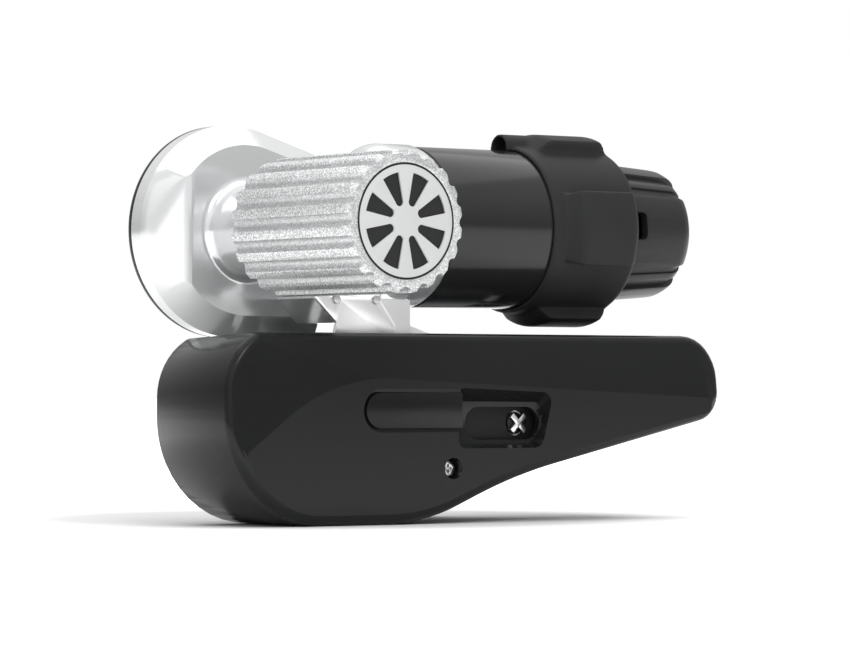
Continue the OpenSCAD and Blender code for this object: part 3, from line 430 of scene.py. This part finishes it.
def deliver(piece, node, material):
    """Hands a finished piece over: it stands for its solid, rides on its body and wears its material."""
    piece.data.materials.clear()
    piece.data.materials.append(material)
    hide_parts(node)
    slot_of(node)
    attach(piece, body_of(node))


def dress(node, name, material, edge, steps=2):
    """Makes a finished piece of a solid whose edges only need rounding."""
    piece = copy_node(node, name)
    soften(piece, edge, steps)
    smooth(piece)
    deliver(piece, node, material)


def aimed(name, data, place, aim):
    """Puts a camera or a lamp in the scene, looking along an aim."""
    made = bpy.data.objects.new(name, data)
    bpy.context.scene.collection.objects.link(made)
    made.matrix_world = Matrix.Translation(place) @ aim.to_track_quat("-Z", "Y").to_matrix().to_4x4()
    return made


# Sizes and colours


def color_setting(name, description, default):
    return bpy.props.FloatVectorProperty(
        name=name, description=description, subtype="COLOR", default=default, min=0, max=1)


def share_setting(name, description, default):
    return bpy.props.FloatProperty(
        name=name, description=description, subtype="FACTOR", default=default, min=0, max=1)


def length_setting(name, description, default, low=0.0):
    return bpy.props.FloatProperty(
        name=name, description=description, subtype="DISTANCE", unit="LENGTH", default=default, min=low)


def angle_setting(name, description, degrees):
    return bpy.props.FloatProperty(
        name=name, description=description, subtype="ANGLE", unit="ROTATION", default=math.radians(degrees))


class CoverLook(bpy.types.PropertyGroup):
    """Look of the moulded cover, its plate and its screw."""

    color: color_setting("Cover colour", "Colour of the moulded cover", (0.0132, 0.0139, 0.0136))
    rough: share_setting("Cover roughness", "Roughness of the cover's skin", 0.15)
    edge: length_setting("Edge rounding", "Rounding of the pocket and recess edges", 0.5 * MM)
    plate: color_setting("Plate colour", "Colour of the bare plate", (0.010, 0.010, 0.0105))


class RollerLook(bpy.types.PropertyGroup):
    """Look of the ribbed roller and its end."""

    color: color_setting("Roller colour", "Colour of the rough aluminium", (0.72, 0.73, 0.735))
    rough: share_setting("Roller roughness", "Roughness of the roller's skin", 0.42)
    # Painted shade: depth below the rib crests over which the roller's base colour darkens into the grooves.
    groove_shade_depth: length_setting("Groove depth", "Depth over which the grooves darken", 2.5 * MM)
    edge: length_setting("Rib rounding", "Rounding of the rib edges", 0.35 * MM)
    cap: color_setting("End colour", "Colour of the roller's end cap", (0.022, 0.023, 0.0225))
    trim: color_setting("Trim colour", "Colour of the spoked disc", (0.74, 0.745, 0.75))


class DriveLook(bpy.types.PropertyGroup):
    """Look of the gearbox, the motor, its boot and its end cap."""

    metal: color_setting("Casting colour", "Colour of the gearbox casting", (0.76, 0.77, 0.775))
    metal_rough: share_setting("Casting roughness", "Roughness of the gearbox casting", 0.15)
    casting_edge: length_setting("Casting rounding", "Rounding of the casting's edges", 0.9 * MM)
    lid: color_setting("Rear cover colour", "Colour of the gearbox's rear cover", (0.016, 0.016, 0.017))
    sheet: color_setting("Sheet colour", "Colour of the carriage plate", (0.94, 0.94, 0.94))
    tube: color_setting("Tube colour", "Colour of the motor tube", (0.022, 0.0226, 0.0223))
    boot: color_setting("Boot colour", "Colour of the rubber boot", (0.029, 0.0293, 0.030))
    boot_grid: length_setting("Boot grid", "Size of the grid that the boot is softened on", 0.8 * MM)
    cap: color_setting("Cap colour", "Colour of the end cap", (0.028, 0.0285, 0.029))
    cap_edge: length_setting("Cap rounding", "Rounding of the end cap's edges", 1.0 * MM)


class ScrewLook(bpy.types.PropertyGroup):
    """Thread of the lead screw and sockets of the rear cover screws."""

    lead: length_setting("Thread lead", "Way of the thread in one turn", 4 * MM)
    depth: length_setting("Thread depth", "From the crest of the thread to its root", 1 * MM)
    run_out: length_setting("Run out", "Plain length left before the clip", 2 * MM)
    socket: length_setting("Socket radius", "Corner radius of the hexagon socket", 1.9 * MM)
    sink: length_setting("Socket depth", "Depth of the hexagon socket", 1.6 * MM)
    edge: length_setting("Screw rounding", "Rounding of the screws' edges", 0.4 * MM)


class SlideLook(bpy.types.PropertyGroup):
    """Look of the slide behind the cover."""

    frame: color_setting("Frame colour", "Colour of the painted frame", (0.03, 0.03, 0.032))
    block: color_setting("Block colour", "Colour of the cast blocks", (0.55, 0.57, 0.6))
    steel: color_setting("Steel colour", "Colour of the rods and clips", (0.62, 0.63, 0.64))
    arm: length_setting("Arm depth", "Depth of the bright arms of the cross", 2 * MM)
    edge: length_setting("Slide rounding", "Rounding of the slide's edges", 0.4 * MM)


class StageLook(bpy.types.PropertyGroup):
    """Camera and floor."""

    camera: bpy.props.FloatVectorProperty(
        name="Camera place", description="Where the camera stands", subtype="TRANSLATION", unit="LENGTH",
        default=(-1.1265, -1.6584, 0.0155))
    heading: angle_setting("Heading", "Turn of the view to the right of straight ahead", 35.45)
    pitch: angle_setting("Pitch", "Upward tilt of the view", 0.856)
    lens: bpy.props.FloatProperty(
        name="Lens", description="Focal length in millimetres", default=173.35, min=1)
    floor: length_setting("Floor height", "Height of the studio floor", CAD_BOX[0][2], low=-1.0)
    shade: length_setting("Shade radius", "Round the object, the floor shows its shadow", 0.13)
    clear: length_setting("Clear radius", "From here on, the floor is plain white", 0.27)


LOOKS = {"mover_cover": CoverLook, "mover_roller": RollerLook, "mover_drive": DriveLook,
         "mover_screw": ScrewLook, "mover_slide": SlideLook, "mover_stage": StageLook}


# Pieces


class MOVER_OT_cover(bpy.types.Operator):
    """Moulded cover with its crease, pocket and screw recess, the bare name plate and the cover screw"""

    bl_idname = "mover.cover"
    bl_label = "Cover"

    def execute(self, context):
        look = context.scene.mover_cover
        openings = [middle_of(node).z for node in ("name_plate", "cover_screw")]
        skin = copy_node("cover", "cover_skin", openings)
        self.mark_crease(skin)
        soften(skin, look.edge, angle=50)
        smooth(skin)
        deliver(skin, "cover", moulded("cover_plastic", look.color, look.rough, grain=900))
        black = moulded("plate_black", look.plate, rough=0.22, grain=700)
        dress("name_plate", "name_plate_bare", black, edge=0.35 * MM)
        steel = turned_steel("cover_screw_steel", (0.6, 0.6, 0.61), rough=0.28)
        dress("cover_screw", "cover_screw_head", steel, edge=0.25 * MM)
        return {"FINISHED"}

    def mark_crease(self, skin):
        """Keeps the crease round the flat front sharp."""
        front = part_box("cover")[0].y

        def on_front(face):
            return face.normal.y < -SQUARE and abs(face.calc_center_median().y - front) < NEAR

        def on_crease(edge):
            return len(edge.link_faces) == 2 and sum(on_front(face) for face in edge.link_faces) == 1

        edit(skin)
        choose(skin, "edges", on_crease)
        bpy.ops.mesh.mark_sharp()
        close()


class MOVER_OT_roller(bpy.types.Operator):
    """Ribbed roller with its dark end cap and its spoked trim disc"""

    bl_idname = "mover.roller"
    bl_label = "Roller"

    def execute(self, context):
        look = context.scene.mover_roller
        low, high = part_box("drive_roller")
        crest = (high.x - low.x) / 2
        axis = middle_of("drive_roller")
        axis.y = 0
        # The roller's metal carries painted shade in its grooves and painted glints on its grains.
        metal = sparkling_metal("roller_metal", look.color, look.rough, axis, crest - look.groove_shade_depth, crest)
        dress("drive_roller", "roller_ribs", metal, look.edge)
        cap = copy_node("roller_cap", "roller_end_cap")
        smooth(cap)
        deliver(cap, "roller_cap", moulded("roller_cap_plastic", look.cap, rough=0.42, grain=800))
        grey = painted("trim_grey", look.trim, rough=0.45, peel=0.04)
        dress("trim_disc", "trim_spokes", grey, edge=0.12 * MM)
        return {"FINISHED"}


class MOVER_OT_gearbox(bpy.types.Operator):
    """Cast gearbox with its rear cover, the motor flange and the carriage plate"""

    bl_idname = "mover.gearbox"
    bl_label = "Gearbox"

    def execute(self, context):
        look = context.scene.mover_drive
        casting = cast_metal("case_casting", look.metal, look.metal_rough, metal=0.5)
        dress("gearbox_housing", "gearbox_casting", casting, look.casting_edge, steps=3)
        dress("motor_flange", "flange_casting", casting, look.casting_edge, steps=3)
        black = painted("lid_black", look.lid, rough=0.4, peel=0.1)
        dress("rear_cover", "rear_lid", black, edge=0.4 * MM)
        zinc = cast_metal("sheet_zinc", look.sheet, rough=0.3, metal=0.9)
        dress("carriage_plate", "carriage_sheet", zinc, edge=0.3 * MM)
        steel = turned_steel("rivet_steel", (0.5, 0.5, 0.51), rough=0.35)
        dress("plate_rivets", "sheet_rivets", steel, edge=0.3 * MM, steps=3)
        return {"FINISHED"}


class MOVER_OT_motor(bpy.types.Operator):
    """Motor tube, rubber boot and end cap"""

    bl_idname = "mover.motor"
    bl_label = "Motor"

    def execute(self, context):
        look = context.scene.mover_drive
        black = painted("tube_black", look.tube, rough=0.16, peel=0.04)
        dress("motor_tube", "motor_shell", black, edge=0.6 * MM, steps=3)
        boot = copy_node("rubber_boot", "boot_rubber")
        modify(boot, "REMESH", mode="VOXEL", voxel_size=look.boot_grid, adaptivity=0.0)
        modify(boot, "SMOOTH", factor=0.5, iterations=9)
        modify(boot, "DECIMATE", ratio=0.45)
        smooth(boot, angle=60)
        deliver(boot, "rubber_boot", rubber("boot_black", look.boot, rough=0.55))
        cap = copy_node("end_cap", "end_cap_shell")
        soften(cap, look.cap_edge, steps=3, angle=35)
        smooth(cap, angle=30)
        deliver(cap, "end_cap", moulded("cap_plastic", look.cap, rough=0.36, grain=800))
        return {"FINISHED"}


class MOVER_OT_slide(bpy.types.Operator):
    """Back plate, cheeks, rods, blocks and spindle behind the cover"""

    bl_idname = "mover.slide"
    bl_label = "Slide"

    def execute(self, context):
        look = context.scene.mover_slide
        black = painted("frame_black", look.frame, rough=0.4, peel=0.12)
        casting = cast_metal("block_casting", look.block, rough=0.42)
        steel = turned_steel("bright_steel", look.steel, rough=0.26, stretch=(1, 30, 30))
        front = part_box("cross_spindle")[0].y
        cross = cross_steel("cross_steel", (0.78, 0.78, 0.77, 1), tint(look.frame, 1), front, look.arm)
        groups = {
            black: ("back_plate", "left_cheek", "right_cheek", "cover_post"),
            casting: ("front_slide_block", "rear_slide_block", "spindle_cover"),
            steel: ("guide_rods", "rod_clips", "screw_clip"),
            cross: ("cross_spindle",),
        }
        for material, nodes in groups.items():
            for node in nodes:
                dress(node, node + "_finished", material, look.edge)
        return {"FINISHED"}


class MOVER_OT_fasteners(bpy.types.Operator):
    """Lead screw with its thread, and rear cover screws with their hexagon sockets"""

    bl_idname = "mover.fasteners"
    bl_label = "Thread and sockets"

    def execute(self, context):
        look = context.scene.mover_screw
        steel = turned_steel("screw_steel", (0.6, 0.61, 0.62), rough=0.28)
        self.lead_screw(look, steel)
        self.sockets(look, steel)
        return {"FINISHED"}

    def lead_screw(self, look, steel):
        """Turns the plain length of the screw down to the root and winds the thread on it."""
        axis = middle_of("screw_clip")
        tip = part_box("lead_screw")[0].x
        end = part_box("screw_clip")[0].x - look.run_out
        piece = copy_node("lead_screw", "lead_screw_threaded")
        crest = max(math.hypot(vert.co.y - axis.y, vert.co.z - axis.z) for vert in piece.data.vertices
                    if vert.co.x < tip + look.run_out)
        root = crest - look.depth
        soften(piece, look.edge)
        edit(piece)
        for place in (end, end - look.depth):
            cut((place, 0, 0), (1, 0, 0))
        choose(piece, "verts", lambda vert: vert.co.x < end - look.depth / 2)
        bpy.ops.transform.resize(
            value=(1, root / crest, root / crest), center_override=(end, axis.y, axis.z))
        close()
        start = (tip + look.depth + look.lead / 2, axis.y, axis.z)
        turns = int((end - tip - 2 * look.depth) / look.lead) - 1
        ridge = self.thread(look, start, turns, crest, root - look.depth / 4)
        alone(piece)
        ridge.select_set(True)
        bpy.ops.object.join()
        smooth(piece, angle=30)
        deliver(piece, "lead_screw", steel)

    def thread(self, look, start, turns, crest, foot, taper=0.55, steps=32):
        """Winds a ridge round the screw's axis, from its foot in the core to its narrower crest."""
        bpy.ops.object.select_all(action="DESELECT")
        bpy.ops.mesh.primitive_circle_add(vertices=4, radius=look.lead / 3, location=start)
        ridge = bpy.context.active_object
        side = look.lead / 3 * math.sqrt(2)
        middle = (crest + foot) / 2
        edit(ridge)
        bpy.ops.transform.rotate(value=math.radians(90), orient_axis="X", center_override=start)
        bpy.ops.transform.rotate(value=math.radians(45), orient_axis="Y", center_override=start)
        bpy.ops.transform.resize(value=(1, 1, (crest - foot) / side), center_override=start)
        bpy.ops.transform.translate(value=(0, 0, middle))
        choose(ridge, "verts", lambda vert: vert.co.z > middle)
        bpy.ops.transform.resize(value=(taper, 1, 1), center_override=start)
        close()
        modify(ridge, "SCREW", axis="X", angle=math.tau, screw_offset=look.lead, iterations=turns,
               steps=steps, render_steps=steps, use_merge_vertices=True, merge_threshold=WELD / 2)
        edit(ridge)
        bpy.ops.mesh.select_mode(type="EDGE")
        bpy.ops.mesh.select_all(action="DESELECT")
        bpy.ops.mesh.select_non_manifold()
        bpy.ops.mesh.edge_face_add()
        bpy.ops.mesh.select_all(action="SELECT")
        bpy.ops.mesh.normals_make_consistent(inside=False)
        close()
        bpy.ops.object.transform_apply(location=True, rotation=True, scale=True)
        return ridge

    def sockets(self, look, steel):
        """Sinks a hexagon into each screw head of the rear cover."""
        heads = copy_node("rear_cover_screws", "lid_screws")
        soften(heads, look.edge)
        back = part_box("rear_cover_screws")[1].y
        places = [face.center.copy() for face in heads.data.polygons
                  if face.normal.y > SQUARE and abs(face.center.y - back) < NEAR]
        cutters = []
        for place in places:
            bpy.ops.object.select_all(action="DESELECT")
            bpy.ops.mesh.primitive_cylinder_add(
                vertices=6, radius=look.socket, depth=2 * look.sink, location=place,
                rotation=(math.radians(90), 0, 0))
            cutters.append(bpy.context.active_object)
        for cutter in cutters:
            cutter.select_set(True)
        bpy.ops.object.join()
        cutter = bpy.context.active_object
        modify(heads, "BOOLEAN", operation="DIFFERENCE", object=cutter, solver="EXACT")
        alone(cutter)
        bpy.ops.object.delete()
        smooth(heads)
        deliver(heads, "rear_cover_screws", steel)


class MOVER_OT_inside(bpy.types.Operator):
    """Finishes on the solids that stay: gears, bearings, seals, bushes and the motor's inside"""

    bl_idname = "mover.inside"
    bl_label = "Inside"

    def execute(self, context):
        finishes = {
            "bronze": turned_steel("bronze", (0.55, 0.4, 0.18), rough=0.34),
            "bearing_steel": turned_steel("bearing_steel", (0.66, 0.66, 0.67), rough=0.22),
            "gear_steel": turned_steel("gear_steel", (0.36, 0.38, 0.4), rough=0.36),
            "bright_steel": turned_steel("shaft_steel", (0.62, 0.63, 0.64), rough=0.26),
            "inner_casting": cast_metal("inner_casting", (0.55, 0.57, 0.6), rough=0.45),
            "rubber_black": rubber("seal_black", (0.012, 0.0125, 0.0128), rough=0.6),
            "cap_plastic": moulded("shutter_plastic", (0.012, 0.012, 0.0125), rough=0.5, grain=800),
            "ferrite": cast_metal("ferrite", (0.06, 0.06, 0.065), rough=0.6),
            "holder_plastic": moulded("holder_tan", (0.48, 0.36, 0.22), rough=0.5, grain=700),
            "winding": windings("winding_lacquer", (0.3, 0.14, 0.07), rough=0.4),
            "copper": turned_steel("copper", (0.7, 0.36, 0.2), rough=0.3),
        }
        for node, solid in frame["nodes"].items():
            if not solid.hide_render:
                solid.data.materials.clear()
                solid.data.materials.append(finishes[slot_of(node)])
        return {"FINISHED"}


class MOVER_OT_stage(bpy.types.Operator):
    """Camera, pale floor and soft studio light"""

    bl_idname = "mover.stage"
    bl_label = "Stage"

    def execute(self, context):
        scene = context.scene
        look = scene.mover_stage
        scene.camera = self.camera(look)
        bpy.ops.object.select_all(action="DESELECT")
        bpy.ops.mesh.primitive_plane_add(size=60, location=(0, 0, look.floor))
        floor = context.active_object
        floor.name = "studio_floor"
        floor.data.materials.append(self.floor_white(look))
        scene.world = self.studio_world()
        self.softbox("key", (-0.6, -1.8, 1.5), size=0.9, power=10)
        self.softbox("front", (-1.4, -1.5, 0.65), size=1.9, power=5)
        self.softbox("overhead", (0.1, 0.1, 1.7), size=2.4, power=18)
        scene.view_settings.view_transform = "Standard"
        return {"FINISHED"}

    def camera(self, look):
        """A camera at the set place, turned by the heading and tilted by the pitch."""
        lens = bpy.data.cameras.new("studio_camera")
        lens.lens = look.lens
        lens.sensor_width = 36
        lens.sensor_fit = "HORIZONTAL"
        lens.clip_start = 0.05
        lens.clip_end = 50
        ahead = math.cos(look.pitch)
        aim = Vector((math.sin(look.heading) * ahead, math.cos(look.heading) * ahead, math.sin(look.pitch)))
        return aimed("studio_camera", lens, look.camera, aim)

    def rays(self, made, *kinds):
        """One for rays of the given kinds, and nought for all others."""
        found = [made.node("ShaderNodeLightPath", output=kind) for kind in kinds]
        while len(found) > 1:
            pair = {0: found.pop(), 1: found.pop()}
            found.append(made.node("ShaderNodeMath", {"operation": "MAXIMUM"}, pair))
        return found[0]

    def floor_white(self, look):
        """Matt white that holds the shadow round the object and is plain white to the eye further out."""
        made = Finish("floor_white", Base_Color=(0.95, 0.95, 0.95, 1), Roughness=0.9, Specular_IOR_Level=0.0,
                      Emission_Strength=1.0)
        seen = self.rays(made, "Is Camera Ray", "Is Glossy Ray", "Is Transmission Ray")
        out = made.node("ShaderNodeVectorMath", {"operation": "LENGTH"}, {0: made.place()}, "Value")
        clear = made.spread(out, look.shade, look.clear)
        made.set(Emission_Color=made.between(seen * clear, (0, 0, 0, 1), (1, 1, 1, 1)))
        return made.material

    def studio_world(self):
        """White to the camera, pale and brighter upwards in reflections, and softer for the light itself."""
        made = Finish.of_world("studio_world")
        up = made.along(made.node("ShaderNodeTexCoord", output="Generated"), "Z")
        light = made.spread(up, 0.0, 0.7, first=0.3, last=0.6)
        mirrored = made.spread(up, 0.05, 0.6, first=0.4)
        gloss = self.rays(made, "Is Glossy Ray", "Is Transmission Ray")
        seen = self.rays(made, "Is Camera Ray")
        made.set(Strength=made.level(seen, made.level(gloss, light, mirrored), 1.0))
        return made.material

    def softbox(self, name, place, size, power):
        """A square lamp that looks at the middle of the object."""
        light = bpy.data.lights.new(name + "_softbox", "AREA")
        light.shape = "SQUARE"
        light.size = size
        light.energy = power
        target = Vector((0.02, -0.07, 0.04))
        aimed(name + "_softbox", light, place, target - Vector(place))


class MOVER_PT_panel(bpy.types.Panel):
    """Lists the steps in the sidebar."""

    bl_label = "Motor mover"
    bl_idname = "MOVER_PT_panel"
    bl_space_type = "VIEW_3D"
    bl_region_type = "UI"
    bl_category = "Mover"

    def draw(self, context):
        for step in STEPS:
            self.layout.operator(step.bl_idname)


STEPS = (MOVER_OT_stage, MOVER_OT_cover, MOVER_OT_roller, MOVER_OT_gearbox, MOVER_OT_motor, MOVER_OT_slide,
         MOVER_OT_fasteners, MOVER_OT_inside)


def register():
    for name, look in LOOKS.items():
        bpy.utils.register_class(look)
        setattr(bpy.types.Scene, name, bpy.props.PointerProperty(type=look))
    for step in STEPS:
        bpy.utils.register_class(step)
    bpy.utils.register_class(MOVER_PT_panel)


def unregister():
    bpy.utils.unregister_class(MOVER_PT_panel)
    for step in reversed(STEPS):
        bpy.utils.unregister_class(step)
    for name, look in LOOKS.items():
        delattr(bpy.types.Scene, name)
        bpy.utils.unregister_class(look)


def main():
    register()
    bpy.ops.mover.stage()
    bpy.ops.mover.cover()
    bpy.ops.mover.roller()
    bpy.ops.mover.gearbox()
    bpy.ops.mover.motor()
    bpy.ops.mover.slide()
    bpy.ops.mover.fasteners()
    bpy.ops.mover.inside()


if __name__ == "__main__":
    main()
